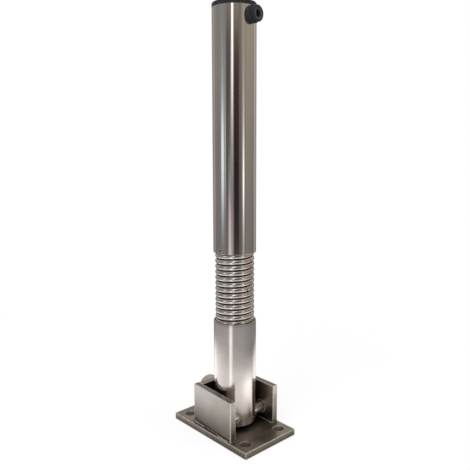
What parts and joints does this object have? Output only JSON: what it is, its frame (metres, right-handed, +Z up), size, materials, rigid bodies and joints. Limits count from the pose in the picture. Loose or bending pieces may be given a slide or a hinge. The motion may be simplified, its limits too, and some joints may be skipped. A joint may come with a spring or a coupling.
{
  "type": "fold-down bollard",
  "caption": "Steel parking post that hinges down in a welded foot bracket, with a coil spring that lets it flex and a key lock in its head.",
  "frame": {"origin": "middle of the underside of the base plate", "axes": "+Z up along the standing post, +X the way the post folds down, +Y across the fold"},
  "size_m": [0.154, 0.096, 0.5942],
  "materials": {
    "foot_steel": "ground steel plate, faint oil film",
    "turned_steel": "turned steel",
    "weld_metal": "weld bead, slightly dull",
    "lower_tube_steel": "polished steel tube",
    "upper_tube_steel": "polished stainless steel tube",
    "spring_steel": "bright spring wire",
    "plug_steel": "turned steel, zinc plated",
    "screw_steel": "dark steel screw",
    "core_steel": "black oxide steel",
    "lock_black": "black powder coat",
    "cap_plastic": "moulded black plastic",
    "pulley_plastic": "acetal",
    "ferrule_metal": "crimped brass",
    "cable_steel": "stranded steel cable"
  },
  "bodies": {
    "base": {"base_plate": "foot_steel", "side_plate_left": "foot_steel", "side_plate_right": "foot_steel", "rear_plate": "foot_steel", "latch_socket": "turned_steel", "bracket_welds": "weld_metal", "pivot_pin": "turned_steel"},
    "lower_post": {"lower_tube": "lower_tube_steel", "pivot_sleeve": "turned_steel", "bolt_guide": "turned_steel", "latch_spring": "spring_steel", "pulley_yoke": "turned_steel", "pulley_axle": "turned_steel", "spring_plug_lower": "plug_steel"},
    "pulley": {"cable_pulley": "pulley_plastic"},
    "bolt": {"latch_bolt": "turned_steel", "cable_ferrule": "ferrule_metal"},
    "spring_middle": {"coil_spring": "spring_steel", "pull_cable": "cable_steel"},
    "upper_post": {"spring_plug_upper": "plug_steel", "upper_tube": "upper_tube_steel", "set_screws": "screw_steel", "top_cap": "cap_plastic", "lock_body": "lock_black", "saddle_washer": "plug_steel", "lock_nut": "plug_steel"},
    "key_spindle": {"key_core": "core_steel", "cable_drum": "pulley_plastic", "drum_screw": "screw_steel", "cable_nipple": "ferrule_metal"}
  },
  "joints": [
    {"name": "post_fold", "type": "hinge", "parent": "base", "child": "lower_post", "pos_m": [0.0195, 0.0013, 0.027], "axis": [0, 1, 0], "range_deg": [0, 90]},
    {"name": "spring_flex_lower", "type": "hinge", "parent": "lower_post", "child": "spring_middle", "pos_m": [0.0025, 0.0013, 0.1877], "axis": [0, 1, 0], "range_deg": [-30, 30], "stiffness_Nm_per_rad": 45, "deforming": ["coil_spring", "pull_cable"]},
    {"name": "spring_flex_upper", "type": "hinge", "parent": "spring_middle", "child": "upper_post", "pos_m": [0.0025, 0.0013, 0.2367], "axis": [1, 0, 0], "range_deg": [-30, 30], "stiffness_Nm_per_rad": 45, "deforming": ["coil_spring", "pull_cable"]},
    {"name": "key_turn", "type": "hinge", "parent": "upper_post", "child": "key_spindle", "pos_m": [0.0025, 0.0013, 0.5757], "axis": [0.9945, 0.1045, 0], "range_deg": [0, 90], "deforming": ["pull_cable"]},
    {"name": "pulley_spin", "type": "hinge", "parent": "lower_post", "child": "pulley", "pos_m": [0.0123, 0.0013, 0.048], "axis": [0, 1, 0], "range_deg": [0, 138]},
    {"name": "bolt_slide", "type": "slide", "parent": "lower_post", "child": "bolt", "axis": [-1, 0, 0], "range_m": [0, 0.01205], "deforming": ["latch_spring"]}
  ],
  "couplings": [
    {"joint": "bolt_slide", "follows": "key_turn", "m_per_rad": 0.0076394},
    {"joint": "pulley_spin", "follows": "key_turn", "ratio": 1.5279}
  ]
}
